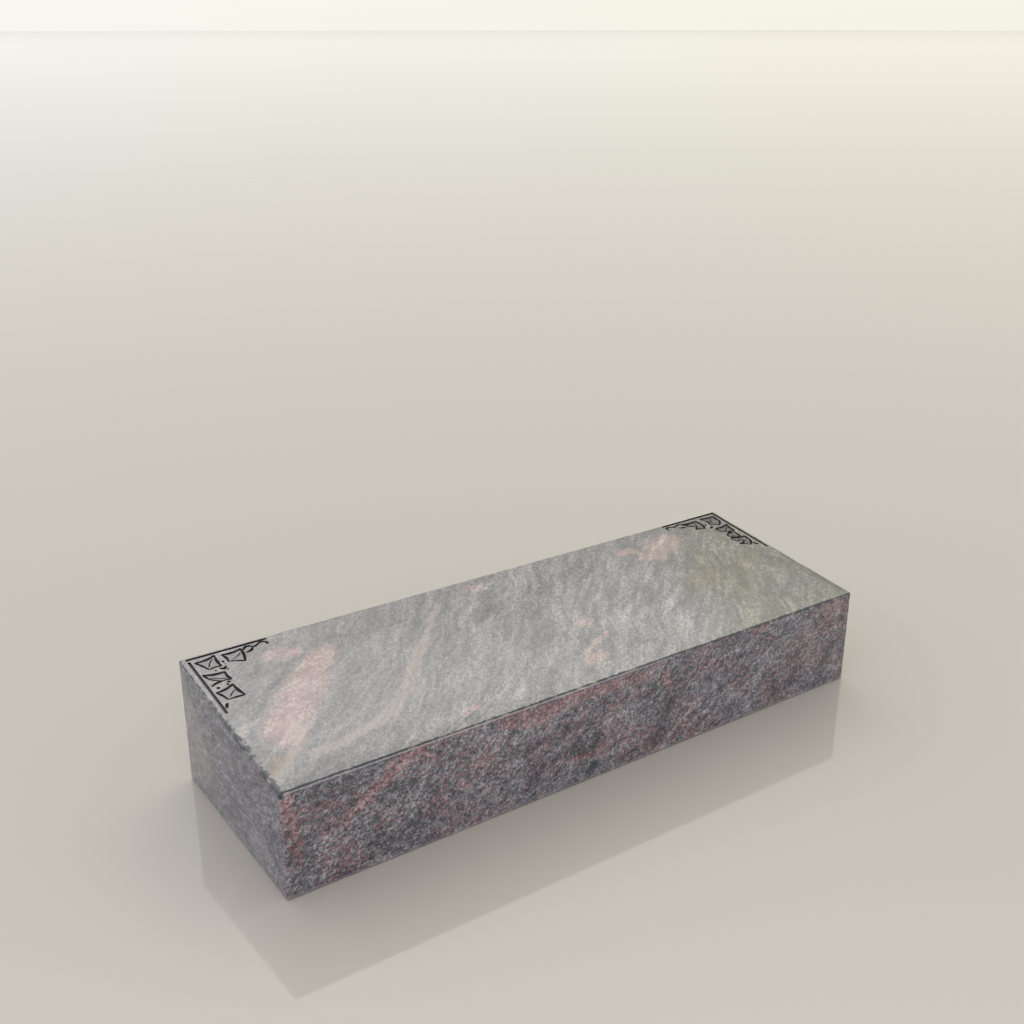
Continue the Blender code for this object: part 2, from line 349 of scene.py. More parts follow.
def make_corner(scroll):
    """An empty on the top face, where the centre lines of a scroll's bars cross. Its X runs along
    the marker and its Y up the slope."""
    corner = bpy.data.objects.new("scroll_corner", None)
    from_end = EDGE_WIDTH + scroll.side_bar_clearance + BAR_WIDTH / 2
    from_back = EDGE_WIDTH + scroll.back_bar_clearance + BAR_WIDTH / 2
    corner.location = (
        -scroll.side * (LENGTH / 2 - from_end),
        DEPTH / 2 - from_back * math.cos(SLOPE),
        BACK_HEIGHT - from_back * math.sin(SLOPE),
    )
    corner.rotation_euler = (SLOPE, 0.0, 0.0)
    bpy.context.scene.collection.objects.link(corner)
    return corner


def on_grid(point, side):
    return Vector((side * point[0] * GRID_STEP, -point[1] * GRID_STEP, 0.0))


def arc_points(start, end, sag, steps, run_on=0.0):
    """Points of a shallow arc from start to end, run on a little past both."""
    start, end = Vector(start), Vector(end)
    run = end - start
    aside = Vector((-run.y, run.x)).normalized()
    spare = run_on / run.length
    shares = [step / steps * (1 + 2 * spare) - spare for step in range(steps + 1)]
    return [start + run * share + aside * (sag * 4 * share * (1 - share)) for share in shares]


def leaf_sides(leaf, run_on=0.0):
    sides = []
    for index, (tip, sag) in enumerate(leaf):
        next_tip = leaf[(index + 1) % len(leaf)][0]
        sides.append(arc_points(tip, next_tip, sag, SIDE_STEPS, run_on))
    return sides


def mesh_from_curve(curve_object):
    """The curve's surface as a welded mesh. The curve is removed."""
    graph = bpy.context.evaluated_depsgraph_get()
    mesh = bpy.data.meshes.new_from_object(curve_object.evaluated_get(graph))
    bpy.data.objects.remove(curve_object, do_unlink=True)
    bm = bmesh.new()
    bm.from_mesh(mesh)
    bmesh.ops.remove_doubles(bm, verts=bm.verts, dist=WELD_DISTANCE)
    bmesh.ops.recalc_face_normals(bm, faces=bm.faces)
    bm.to_mesh(mesh)
    bm.free()
    return mesh


def hang(mesh, corner, cutters, material, lift=0.0, smooth=True):
    mesh.materials.clear()
    mesh.materials.append(material)
    for polygon in mesh.polygons:
        polygon.use_smooth = smooth
        polygon.material_index = 0
    obj = new_object("cutter", mesh, cutters)
    obj.parent = corner
    obj.location.z = lift


def cut_groove(points, width, depth, corner, side, cutters, material, seed):
    """A round-bottomed groove along the points, swelling and thinning as a hand-cut line does."""
    tool_radius = (width * width / 4 + depth * depth) / (2 * depth)
    curve = bpy.data.curves.new("groove", "CURVE")
    curve.dimensions = "3D"
    curve.twist_mode = "Z_UP"
    curve.bevel_depth = tool_radius
    curve.bevel_resolution = TUBE_RESOLUTION
    curve.use_fill_caps = True
    spline = curve.splines.new("POLY")
    spline.points.add(len(points) - 1)
    lift = Vector((0.0, 0.0, tool_radius - depth))
    last = len(points) - 1
    for index, point in enumerate(points):
        spline.points[index].co = (*(on_grid(point, side) + lift), 1.0)
        fullness = math.sin(math.pi * index / last) ** 0.7
        wander = STROKE_WANDER * noise.noise(Vector((point[0] * 0.16, point[1] * 0.16, seed)))
        spline.points[index].radius = TIP_SWELL + (FULL_SWELL - TIP_SWELL) * fullness + wander
    groove = new_object("groove", curve)
    hang(mesh_from_curve(groove), corner, cutters, material)


def cut_strokes(strokes, width, depth, corner, side, cutters, material):
    for number, (start, end, sag) in enumerate(strokes):
        points = arc_points(start, end, sag, STROKE_STEPS)
        cut_groove(points, width, depth, corner, side, cutters, material, number * 3.7)


def cut_bar(outline, corner, side, cutters, material):
    """A straight channel with a flat floor."""
    curve = bpy.data.curves.new("bar", "CURVE")
    curve.dimensions = "2D"
    curve.fill_mode = "BOTH"
    curve.extrude = (BAR_DEPTH + CUTTER_OVERSHOOT) / 2
    spline = curve.splines.new("POLY")
    spline.points.add(len(outline) - 1)
    for index, point in enumerate(outline):
        spline.points[index].co = (*on_grid(point, side), 1.0)
    spline.use_cyclic_u = True
    mesh = mesh_from_curve(new_object("bar", curve))
    hang(mesh, corner, cutters, material, (CUTTER_OVERSHOOT - BAR_DEPTH) / 2, smooth=False)


def bar_outlines(gap):
    half = BAR_WIDTH / 2 / GRID_STEP
    right = BACK_BAR_LENGTH / GRID_STEP - half
    foot = SIDE_BAR_LENGTH / GRID_STEP
    back_top = [(-half, -half), (right, -half), (right, half)]
    side_foot = [(half, foot), (-half, foot)]
    if gap == 0:
        return [back_top + [(half, half)] + side_foot]
    start = half + gap / GRID_STEP
    return [back_top + [(-half, half)], [(-half, start), (half, start)] + side_foot]


def distance_to_stroke(point, stroke):
    start, end = Vector(stroke[0]), Vector(stroke[1])
    run = end - start
    share = max(0.0, min(1.0, (point - start).dot(run) / run.length_squared))
    return (point - start - run * share).length


def cut_ground(leaf, vein, corner, side, cutters, material):
    """The sunk ground of a leaf, dished towards its vein and slightly rough from the blast."""
    outline = [point for points in leaf_sides(leaf) for point in points[:-1]]
    bm = bmesh.new()
    floor = [bm.verts.new(on_grid(point, side)) for point in outline]
    bm.faces.new(floor)
    bmesh.ops.triangulate(bm, faces=bm.faces[:])
    inner = [edge for edge in bm.edges if not edge.is_boundary]
    bmesh.ops.subdivide_edges(bm, edges=inner, cuts=GROUND_CUTS, use_grid_fill=False)
    bmesh.ops.triangulate(bm, faces=bm.faces[:])
    bmesh.ops.beautify_fill(bm, faces=bm.faces[:], edges=bm.edges[:])
    for vertex in bm.verts:
        point = Vector((side * vertex.co.x, -vertex.co.y)) / GRID_STEP
        belly = min(1.0, distance_to_stroke(point, vein) / GROUND_BELLY)
        rough = noise.noise(Vector((point.x * 0.45, point.y * 0.45, side * 4.0)))
        vertex.co.z = -GROUND_DEPTH - GROUND_DISH * (0.5 - belly) - BLAST_ROUGHNESS * rough
    made = bmesh.ops.extrude_face_region(bm, geom=bm.faces[:])["geom"]
    for vertex in made:
        if isinstance(vertex, bmesh.types.BMVert):
            vertex.co.z = CUTTER_OVERSHOOT
    bmesh.ops.recalc_face_normals(bm, faces=bm.faces)
    mesh = bpy.data.meshes.new("ground")
    bm.to_mesh(mesh)
    bm.free()
    hang(mesh, corner, cutters, material)


def cut_berry(centre, radius, corner, side, cutters, material):
    """A round-bottomed pit."""
    rim = radius * GRID_STEP
    ball = (rim * rim + BERRY_DEPTH * BERRY_DEPTH) / (2 * BERRY_DEPTH)
    bm = bmesh.new()
    bmesh.ops.create_uvsphere(bm, u_segments=18, v_segments=12, radius=ball)
    bmesh.ops.translate(bm, verts=bm.verts, vec=on_grid(centre, side))
    mesh = bpy.data.meshes.new("berry")
    bm.to_mesh(mesh)
    bm.free()
    hang(mesh, corner, cutters, material, ball - BERRY_DEPTH)


def carve_corner(scroll, cutters, paint, frost):
    corner = make_corner(scroll)
    side = scroll.side
    for outline in bar_outlines(scroll.bar_gap):
        cut_bar(outline, corner, side, cutters, paint)
    for number, (leaf, vein) in enumerate(zip(scroll.leaves, scroll.veins)):
        cut_ground(leaf, vein, corner, side, cutters, frost)
        for letter, points in enumerate(leaf_sides(leaf, TIP_RUN_ON)):
            seed = number * 4.3 + letter * 1.9
            cut_groove(points, OUTLINE_WIDTH, OUTLINE_DEPTH, corner, side, cutters, paint, seed)
    line = (OUTLINE_WIDTH, OUTLINE_DEPTH)
    vein = (VEIN_WIDTH, GROUND_DEPTH + VEIN_DEPTH)
    cut_strokes(scroll.tendrils, *line, corner, side, cutters, paint)
    cut_strokes(scroll.dashes, *line, corner, side, cutters, paint)
    cut_strokes(scroll.veins, *vein, corner, side, cutters, paint)
    for centre, radius in scroll.berries:
        cut_berry(centre, radius, corner, side, cutters, paint)
    return corner


def drop_specks(mesh):
    """Removes the grains of stone that stand free where grooves cross, and faces without area."""
    bm = bmesh.new()
    bm.from_mesh(mesh)
    unseen = set(bm.faces)
    specks = []
    while unseen:
        island = [unseen.pop()]
        for face in island:
            for edge in face.edges:
                for near in edge.link_faces:
                    if near in unseen:
                        unseen.remove(near)
                        island.append(near)
        if len(island) < SPECK_FACES:
            specks += island
    bmesh.ops.delete(bm, geom=specks, context="FACES")
    bmesh.ops.dissolve_degenerate(bm, edges=bm.edges, dist=WELD_DISTANCE)
    bm.to_mesh(mesh)
    bm.free()


def carved_marker(stones, paint, frost):
    mesh = block_mesh()
    for stone in stones:
        mesh.materials.append(stone)
    block = new_object("granite_marker", mesh)
    cutters = bpy.data.collections.new("cutters")
    bpy.context.scene.collection.children.link(cutters)
    scrolls = (LEFT_SCROLL, RIGHT_SCROLL)
    corners = [carve_corner(scroll, cutters, paint, frost) for scroll in scrolls]
    carving = block.modifiers.new("carving", "BOOLEAN")
    carving.operation = "DIFFERENCE"
    carving.solver = "EXACT"
    carving.operand_type = "COLLECTION"
    carving.collection = cutters
    carving.material_mode = "TRANSFER"
    bpy.context.view_layer.update()
    graph = bpy.context.evaluated_depsgraph_get()
    carved = bpy.data.meshes.new_from_object(block.evaluated_get(graph))
    block.modifiers.clear()
    block.data = carved
    carved.name = "granite_marker"
    for obj in list(cutters.objects) + corners:
        bpy.data.objects.remove(obj, do_unlink=True)
    bpy.data.collections.remove(cutters)
    drop_specks(carved)
    carved.set_sharp_from_angle(angle=math.radians(SHARP_ANGLE))
    return block


# Materials


# The stone's grain: across the foliation planes, then along them, then the third way
ACROSS = Vector((-0.565, 0.470, 0.679)).normalized()
ALONG = Vector((0.646, 0.763, 0.0)).normalized()
FOLIATION = (ACROSS, ALONG, ACROSS.cross(ALONG))


class Nodes:
    """Builds the nodes of one tree from short calls."""

    def __init__(self, tree):
        self.tree = tree
        self.shader = tree.nodes.get("Principled BSDF")

    def put(self, socket, value):
        if isinstance(value, bpy.types.NodeSocket):
            self.tree.links.new(value, socket)
        else:
            socket.default_value = value

    def node(self, kind, **settings):
        made = self.tree.nodes.new(kind)
        for name, value in settings.items():
            setattr(made, name, value)
        return made

    def math(self, operation, *values):
        made = self.node("ShaderNodeMath", operation=operation)
        for socket, value in zip(made.inputs, values):
            self.put(socket, value)
        return made.outputs[0]

    def vector(self, operation, *values, out=0):
        made = self.node("ShaderNodeVectorMath", operation=operation)
        for socket, value in zip(made.inputs, values):
            self.put(socket, value)
        return made.outputs[out]

    def scaled(self, vector, factor):
        made = self.node("ShaderNodeVectorMath", operation="SCALE")
        self.put(made.inputs[0], vector)
        self.put(made.inputs["Scale"], factor)
        return made.outputs[0]

    def noise(self, vector, scale, detail=2.0, roughness=0.5, colour=False):
        made = self.node("ShaderNodeTexNoise")
        for name, value in (("Vector", vector), ("Scale", scale), ("Detail", detail),
                            ("Roughness", roughness)):
            self.put(made.inputs[name], value)
        return made.outputs["Color" if colour else "Fac"]

    def cells(self, vector, scale):
        """The random colour of each Voronoi cell."""
        made = self.node("ShaderNodeTexVoronoi")
        self.put(made.inputs["Vector"], vector)
        self.put(made.inputs["Scale"], scale)
        return made.outputs["Color"]

    def foliated(self, vector, across, along, aside):
        """The point in the stone's own grain: first across the foliation, then along and in it."""
        made = self.node("ShaderNodeCombineXYZ")
        for socket, direction, stretch in zip(made.inputs, FOLIATION, (across, along, aside)):
            self.put(socket, self.vector("DOT_PRODUCT", vector, tuple(direction * stretch), out=1))
        return made.outputs[0]

    def weighted(self, middle, *terms):
        """middle, plus how far each value stands from a half times its weight."""
        total = middle - sum(weight for value, weight in terms) / 2
        for value, weight in terms:
            total = self.math("MULTIPLY_ADD", value, weight, total)
        return total

    def range(self, value, low, high, to_low=0.0, to_high=1.0, smooth=True):
        kind = "SMOOTHSTEP" if smooth else "LINEAR"
        made = self.node("ShaderNodeMapRange", interpolation_type=kind)
        for name, number in (("Value", value), ("From Min", low), ("From Max", high),
                             ("To Min", to_low), ("To Max", to_high)):
            self.put(made.inputs[name], number)
        return made.outputs[0]

    def mix(self, share, first, second, blend="MIX"):
        made = self.node("ShaderNodeMix", data_type="RGBA", blend_type=blend)
        self.put(made.inputs[0], share)
        for socket, value in ((made.inputs[6], first), (made.inputs[7], second)):
            if isinstance(value, tuple) and len(value) == 3:
                value = (*value, 1.0)
            self.put(socket, value)
        return made.outputs[2]

    def tinted(self, share, colour, tint):
        """The colour, multiplied by the tint as far as the share goes."""
        return self.mix(share, colour, self.mix(1.0, colour, tint, blend="MULTIPLY"))

    def ramp(self, value, stops, kind="LINEAR"):
        made = self.node("ShaderNodeValToRGB")
        made.color_ramp.interpolation = kind
        elements = made.color_ramp.elements
        for place, colour in stops[1:-1]:
            elements.new(place)
        elements[0].position = stops[0][0]
        elements[-1].position = stops[-1][0]
        for element, (place, colour) in zip(elements, stops):
            element.color = (*colour, 1.0)
        self.put(made.inputs[0], value)
        return made.outputs["Color"]

    def bump(self, strength, distance, height):
        """Gives the material's shader a bump."""
        made = self.node("ShaderNodeBump")
        for name, value in (("Strength", strength), ("Distance", distance), ("Height", height)):
            self.put(made.inputs[name], value)
        self.put(self.shader.inputs["Normal"], made.outputs[0])

    def channel(self, colour, index):
        made = self.node("ShaderNodeSeparateColor")
        self.put(made.inputs[0], colour)
        return made.outputs[index]


# Streaks and patches in the stone, in millimetres. On the top a point is (from the left end, from
# the back edge, half width), on the front (from the left end, down from the top edge, half width).
TOP_PINK = (
    ((48, 216, 12), (58, 190, 27), (104, 138, 27), (143, 96, 22), (170, 70, 14)),
    ((102, 50, 10), (122, 47, 13), (146, 54, 5)),
    ((700, 79, 5), (728, 69, 18), (760, 54, 26), (784, 42, 19)),
    ((684, 46, 9), (704, 44, 11)),
    ((506, 176, 8), (518, 171, 8)),
    ((462, 256, 7), (482, 250, 9)),
    ((466, 238, 2), (500, 222, 4), (524, 206, 2)),
    ((256, 272, 6), (276, 270, 6)),
    ((424, 22, 6), (436, 30, 6)),
)
TOP_BEIGE = (
    ((2, 276, 7), (34, 250, 9), (60, 226, 10), (66, 190, 11)),
    ((60, 255, 6), (112, 249, 7), (160, 238, 8), (206, 208, 9), (238, 174, 9), (268, 138, 8),
     (297, 109, 7)),
    ((2, 182, 5), (18, 166, 5), (36, 164, 4)),
    ((297, 109, 6), (330, 72, 5), (358, 39, 3)),
)
TOP_PALE = (
    ((170, 284, 5), (250, 264, 11), (350, 266, 12)),
    ((286, 230, 14), (330, 170, 18), (372, 112, 12)),
    ((330, 250, 16), (392, 196, 12)),
    ((238, 128, 4), (262, 92, 5), (284, 66, 3)),
    ((372, 96, 5), (416, 44, 6), (446, 14, 4)),
    ((440, 140, 3), (480, 96, 5), (516, 58, 3)),
    ((520, 196, 3), (566, 138, 5), (604, 96, 3)),
    ((538, 236, 3), (590, 176, 5), (640, 112, 4), (664, 84, 3)),
    ((612, 240, 4), (664, 178, 6), (690, 140, 3)),
    ((50, 128, 4), (74, 104, 4), (96, 78, 3)),
    ((726, 262, 4), (780, 214, 4)),
)
TOP_DARK = (
    ((152, 58, 3), (122, 77, 6), (88, 103, 6), (70, 120, 6), (52, 141, 5)),
    ((180, 45, 2), (230, 52, 3), (300, 54, 3)),
    ((270, 110, 7), (292, 84, 12), (320, 58, 8)),
    ((382, 104, 8), (414, 78, 14), (440, 44, 8)),
    ((408, 190, 8), (440, 160, 9), (470, 118, 7)),
    ((500, 214, 3), (532, 176, 7), (556, 140, 5)),
    ((470, 226, 4), (498, 198, 6)),
    ((700, 40, 2), (692, 66, 3), (716, 92, 3), (730, 108, 2)),
    ((740, 130, 3), (776, 84, 5), (792, 50, 3)),
    ((796, 246, 6), (826, 218, 8), (852, 196, 6)),
    ((640, 84, 5), (676, 52, 7)),
)
FRONT_RED = (
    ((172, 4, 12), (144, 22, 13), (110, 42, 9), (72, 66, 8)),
    ((4, 4, 12), (12, 50, 12), (16, 96, 8)),
    ((300, 12, 12), (350, 18, 15), (420, 10, 12), (476, 16, 9)),
    ((372, 98, 5), (410, 108, 6), (462, 94, 6)),
    ((486, 12, 8), (520, 20, 10)),
    ((722, 9, 8), (736, 7, 6)),
    ((556, 26, 6), (566, 46, 6)),
    ((236, 70, 7), (244, 76, 7)),
    ((866, 12, 12), (906, 18, 12)),
)
FRONT_DARK = (
    ((6, 56, 9), (24, 104, 11)),
    ((346, 96, 9), (440, 90, 11)),
    ((590, 24, 5), (566, 70, 10), (540, 118, 13)),
    ((430, 124, 7), (440, 122, 8)),
    ((600, 42, 3), (640, 34, 5), (690, 38, 4)),
    ((300, 62, 7), (390, 56, 8)),
)
FRONT_PALE = (
    ((586, 60, 1.2), (604, 44, 1.6), (640, 30, 2.0), (690, 30, 1.4)),
    ((566, 128, 1.5), (588, 106, 2.4), (620, 84, 1.4)),
    ((632, 108, 1.2), (650, 92, 2.0), (690, 78, 1.4)),
    ((700, 70, 1.0), (760, 40, 1.6)),
)
TEAL = (
    ((428, 126, 5), (440, 120, 6)),
)
TOP_BROWN = (
    ((716, 176, 14), (740, 166, 20), (782, 150, 14)),
    ((790, 196, 14), (850, 150, 18)),
    ((4, 262, 9), (24, 244, 10)),
)

# The streaks of each face with how softly they end
TOP_STREAKS = (
    ("pink", TOP_PINK, 0.6), ("beige", TOP_BEIGE, 0.7), ("light", TOP_PALE, 0.8),
    ("dark", TOP_DARK, 0.8), ("brown", TOP_BROWN, 0.7),
)
FRONT_STREAKS = (
    ("red", FRONT_RED, 0.8), ("gloom", FRONT_DARK, 0.8), ("pale", FRONT_PALE, 0.6),
    ("teal", TEAL, 0.6),
)

# What they do to the stone: how much lighter it gets, the share of its grains that are red, the
# flat colours that veil it and the tints it is multiplied by
STREAK_LIFTS = {
    "pink": 0.10, "beige": 0.12, "light": 0.09, "dark": -0.09, "brown": -0.04,
    "red": 0.06, "gloom": -0.12, "pale": 0.20, "teal": -0.10,
}
STREAK_BLUSHES = {"red": 0.80, "beige": 0.26, "pink": 0.30}
STREAK_WASHES = (
    ("pink", 0.46, (0.258, 0.180, 0.190)), ("beige", 0.42, (0.215, 0.172, 0.172)),
    ("teal", 0.60, (0.035, 0.050, 0.058)),
)
STREAK_TINTS = (("pink", (1.05, 0.96, 0.955)), ("brown", (1.04, 0.93, 0.75)))

# The eye that the foliation bulges round, on the top: its centre, the turn of its long way, its
# half length and half width, and how far the foliation rises over its middle
LENS_CENTRE = (185, 150)
LENS_TURN = 47.0
LENS_HALF_LENGTH = 0.115
LENS_HALF_WIDTH = 0.066
LENS_RISE = 0.032

# The stone's colour, and that of its red grains, from its darkest to its lightest places
STONE_TONES = (
    (0.20, (0.034, 0.036, 0.047)),
    (0.38, (0.071, 0.071, 0.084)),
    (0.52, (0.124, 0.121, 0.135)),
    (0.68, (0.197, 0.193, 0.208)),
    (0.92, (0.362, 0.352, 0.372)),
)
FELDSPAR_TONES = (
    (0.20, (0.070, 0.036, 0.045)),
    (0.45, (0.158, 0.076, 0.084)),
    (0.68, (0.272, 0.156, 0.158)),
    (0.92, (0.42, 0.32, 0.32)),
)
TOP_TINT = (1.0, 1.0, 0.92)
OLIVE_TINT = (0.90, 0.915, 0.68)
OLIVE_SHADE = (0.64, 0.68, 0.60)

# A point is wholly on a face up to ON_FACE from its plane, and off it from NEAR_FACE
ON_FACE = 0.0008
NEAR_FACE = 0.0024

# The broken dark line on the arrises, partly worn chips and partly painted shade, which also
# paints the contact shadow at the base; and the painted highlight line beside it and at the foot
ARRIS_WORN_AND_PAINTED_SHADE = (0.014, 0.018, 0.028)
ARRIS_PAINTED_HIGHLIGHT = (0.30, 0.275, 0.29)

# The blasted leaf grounds at the left and right, the right one darker as painted shade, the groove
# paint, and the floor of the side bars, paler as painted light
FROST_LEFT = (0.245, 0.234, 0.250)
FROST_RIGHT_PAINTED_SHADE = (0.080, 0.077, 0.077)
PAINT_TONES = (
    (0.30, (0.010, 0.009, 0.011)),
    (0.60, (0.017, 0.016, 0.018)),
    (0.80, (0.045, 0.041, 0.045)),
)
BAR_FLOOR_PAINTED_LIGHT = (0.105, 0.100, 0.108)

POLISHED_IOR = 1.53


def new_material(name):
    material = bpy.data.materials.new(name)
    material.use_nodes = True
    return material, Nodes(material.node_tree)


def streak_segment():
    """A node group for one straight piece of a streak: how far the place lies from it, counted in
    the piece's own half widths, or the nearest so far if that is less."""
    group = bpy.data.node_groups.get("streak_segment")
    if group:
        return group
    group = bpy.data.node_groups.new("streak_segment", "ShaderNodeTree")
    for name in ("Place", "Start", "Run", "Pace"):
        group.interface.new_socket(name=name, in_out="INPUT", socket_type="NodeSocketVector")
    for name in ("Half Width", "Widening", "Nearest"):
        group.interface.new_socket(name=name, in_out="INPUT", socket_type="NodeSocketFloat")
    group.interface.new_socket(name="Nearest", in_out="OUTPUT", socket_type="NodeSocketFloat")
    n = Nodes(group)
    place, start, run, pace, half, widening, nearest = n.node("NodeGroupInput").outputs[:7]
    away = n.vector("SUBTRACT", place, start)
    share = n.vector("DOT_PRODUCT", away, pace, out=1)
    share = n.math("MINIMUM", n.math("MAXIMUM", share, 0.0), 1.0)
    distance = n.vector("LENGTH", n.vector("SUBTRACT", away, n.scaled(run, share)), out=1)
    near = n.math("DIVIDE", distance, n.math("MULTIPLY_ADD", share, widening, half))
    n.put(n.node("NodeGroupOutput").inputs[0], n.math("MINIMUM", near, nearest))
    return group


def streak_mask(n, place, plane, streaks, softness):
    """1 inside any of the streaks and 0 away from them. place is the warped point, with z 0."""
    nearest = 10.0
    for streak in streaks:
        for (u0, v0, w0), (u1, v1, w1) in zip(streak, streak[1:]):
            start = plane(u0, v0)
            run = plane(u1, v1) - start
            widths = (w0 / 1000, (w1 - w0) / 1000)
            segment = n.node("ShaderNodeGroup", node_tree=streak_segment())
            pace = run / run.length_squared
            values = (place, tuple(start), tuple(run), tuple(pace), *widths, nearest)
            for socket, value in zip(segment.inputs, values):
                n.put(socket, value)
            nearest = segment.outputs[0]
    return n.range(nearest, 1.0 + softness, 1.0 - softness)


def top_plane(u, v):
    return Vector((u / 1000 - LENGTH / 2, DEPTH / 2 - v / 1000, 0.0))


def front_plane(u, v):
    return Vector((u / 1000 - LENGTH / 2, FRONT_HEIGHT - v / 1000, 0.0))


def flat_place(n, vector, upright):
    """The point as (along, up the picture, 0), on the front if upright and else on the top."""
    parts = n.node("ShaderNodeSeparateXYZ")
    n.put(parts.inputs[0], vector)
    flat = n.node("ShaderNodeCombineXYZ")
    n.put(flat.inputs[0], parts.outputs[0])
    n.put(flat.inputs[1], parts.outputs[2 if upright else 1])
    return flat.outputs[0]


def lens_fold(n, point):
    """How far the foliation bulges, along its own normal, over the eye at the left of the top."""
    away = n.vector("SUBTRACT", flat_place(n, point, False), tuple(top_plane(*LENS_CENTRE)))
    turn = math.radians(LENS_TURN)
    long_way = Vector((math.cos(turn), math.sin(turn), 0.0)) / LENS_HALF_LENGTH
    short_way = Vector((-math.sin(turn), math.cos(turn), 0.0)) / LENS_HALF_WIDTH
    first = n.vector("DOT_PRODUCT", away, tuple(long_way), out=1)
    second = n.vector("DOT_PRODUCT", away, tuple(short_way), out=1)
    square = n.math("ADD", n.math("MULTIPLY", first, first), n.math("MULTIPLY", second, second))
    bulge = n.math("EXPONENT", n.math("MULTIPLY", square, -1.0))
    return n.scaled(tuple(ACROSS * LENS_RISE), bulge)


def block_distances(n, point):
    """Distances to the block's faces: the nearer end, front, back, top and underside."""
    parts = n.node("ShaderNodeSeparateXYZ")
    n.put(parts.inputs[0], point)
    x, y, z = parts.outputs
    from_ends = n.math("SUBTRACT", LENGTH / 2, n.math("ABSOLUTE", x))
    from_front = n.math("ADD", y, DEPTH / 2)
    from_back = n.math("SUBTRACT", DEPTH / 2, y)
    top_here = n.math("MULTIPLY_ADD", from_front, math.tan(SLOPE), FRONT_HEIGHT)
    from_top = n.math("MULTIPLY", n.math("SUBTRACT", top_here, z), math.cos(SLOPE))
    return {
        "x": x, "ends": from_ends, "front": from_front, "back": from_back,
        "top": from_top, "base": z,
    }


def off_middle(n, vector, *noise_values):
    """A noise colour as a push that goes either way."""
    return n.vector("SUBTRACT", n.noise(vector, *noise_values, colour=True), (0.5, 0.5, 0.5))


def placed_streaks(n, point, near_top, near_front, sides):
    """Masks of the streaks and patches, each where its table puts it, with wavering edges."""
    waver = off_middle(n, point, 22.0, 3.0, 0.6)
    jitter = off_middle(n, point, 160.0, 2.0, 0.6)
    moved = n.vector("ADD", point, n.scaled(waver, 0.026))
    moved = n.vector("ADD", moved, n.scaled(jitter, 0.012))
    masks = {}
    if "top" in sides:
        place = flat_place(n, moved, False)
        for name, streaks, softness in TOP_STREAKS:
            mask = streak_mask(n, place, top_plane, streaks, softness)
            masks[name] = n.math("MULTIPLY", mask, near_top)
    if "front" in sides:
        place = flat_place(n, moved, True)
        for name, streaks, softness in FRONT_STREAKS:
            mask = streak_mask(n, place, front_plane, streaks, softness)
            masks[name] = n.math("MULTIPLY", mask, near_front)
    return masks


def foliation(n, point):
    """The bent point that the stone's flow follows, and the noises of its bands, from wide to thin.

    The foliation planes dip steeply to the front left, so the top and the front both show slanting
    streaks. They bulge round the eye at the left of the top."""
    fold = off_middle(n, point, 4.5, 2.0, 0.5)
    flowing = n.vector("ADD", point, n.scaled(fold, 0.09))
    flowing = n.vector("ADD", flowing, lens_fold(n, point))
    calm = n.vector("ADD", point, n.scaled(fold, 0.03))
    clouds = n.noise(flowing, 9.0, 3.0, 0.5)
    bands = n.noise(n.foliated(flowing, 1.0, 0.16, 0.60), 42.0, 3.0, 0.55)
    ribbons = n.noise(n.foliated(flowing, 1.0, 0.13, 0.60), 118.0, 2.0, 0.55)
    threads = n.noise(n.foliated(calm, 1.0, 0.28, 0.60), 360.0, 2.0, 0.6)
    return flowing, clouds, bands, ribbons, threads


def grains(n, point):
    """Random values of each grain, its tone and its kind, and of each smaller grain."""
    place = n.vector("ADD", point, n.scaled(off_middle(n, point, 500.0, 1.0), 0.0020))
    place = n.foliated(place, 1.0, 0.62, 0.72)
    coarse = n.cells(place, 460.0)
    return n.channel(coarse, 0), n.channel(coarse, 1), n.channel(n.cells(place, 950.0), 0)


def add_feldspar(n, colour, body, kind, flowing, masks, top, end):
    """Red and pink feldspar: scattered grains everywhere, most of the grains in placed streaks."""
    blush = n.range(n.noise(flowing, 16.0, 3.0, 0.6), 0.38, 0.66, 0.10, 0.46)
    blush = n.math("MULTIPLY", blush, n.math("MULTIPLY_ADD", top, -0.86, 1.0))
    blush = n.math("MULTIPLY", blush, n.math("MULTIPLY_ADD", end, -0.74, 1.0))
    for name, mask in masks.items():
        if name in STREAK_BLUSHES:
            blush = n.math("MAXIMUM", blush, n.math("MULTIPLY", mask, STREAK_BLUSHES[name]))
    is_red = n.range(n.math("SUBTRACT", blush, kind), -0.08, 0.18)
    colour = n.mix(n.math("MULTIPLY", is_red, 0.85), colour, n.ramp(body, FELDSPAR_TONES))
    for name, share, flat in STREAK_WASHES:
        if name in masks:
            colour = n.mix(n.math("MULTIPLY", masks[name], share), colour, flat)
    for name, tint in STREAK_TINTS:
        if name in masks:
            colour = n.tinted(masks[name], colour, tint)
    return colour


def add_casts(n, colour, away, flowing, masks, top):
    """The top is a little warmer than the sides, with an olive cast towards its right end that is
    darker along some of the bands."""
    colour = n.tinted(top, colour, TOP_TINT)
    patchy = n.range(n.noise(flowing, 14.0, 2.0), 0.30, 0.65, 0.55, 1.0)
    sideways = n.math("MULTIPLY_ADD", away["back"], 0.25, away["x"])
    olive = n.math("MULTIPLY", n.range(sideways, 0.25, 0.38), top)
    if "pink" in masks:
        olive = n.math("MULTIPLY", olive, n.math("MULTIPLY_ADD", masks["pink"], -0.8, 1.0))
    shade = n.math("MULTIPLY", n.range(n.noise(flowing, 48.0, 3.0, 0.6), 0.50, 0.37), olive)
    colour = n.tinted(n.math("MULTIPLY", olive, patchy), colour, OLIVE_TINT)
    return n.tinted(shade, colour, OLIVE_SHADE)


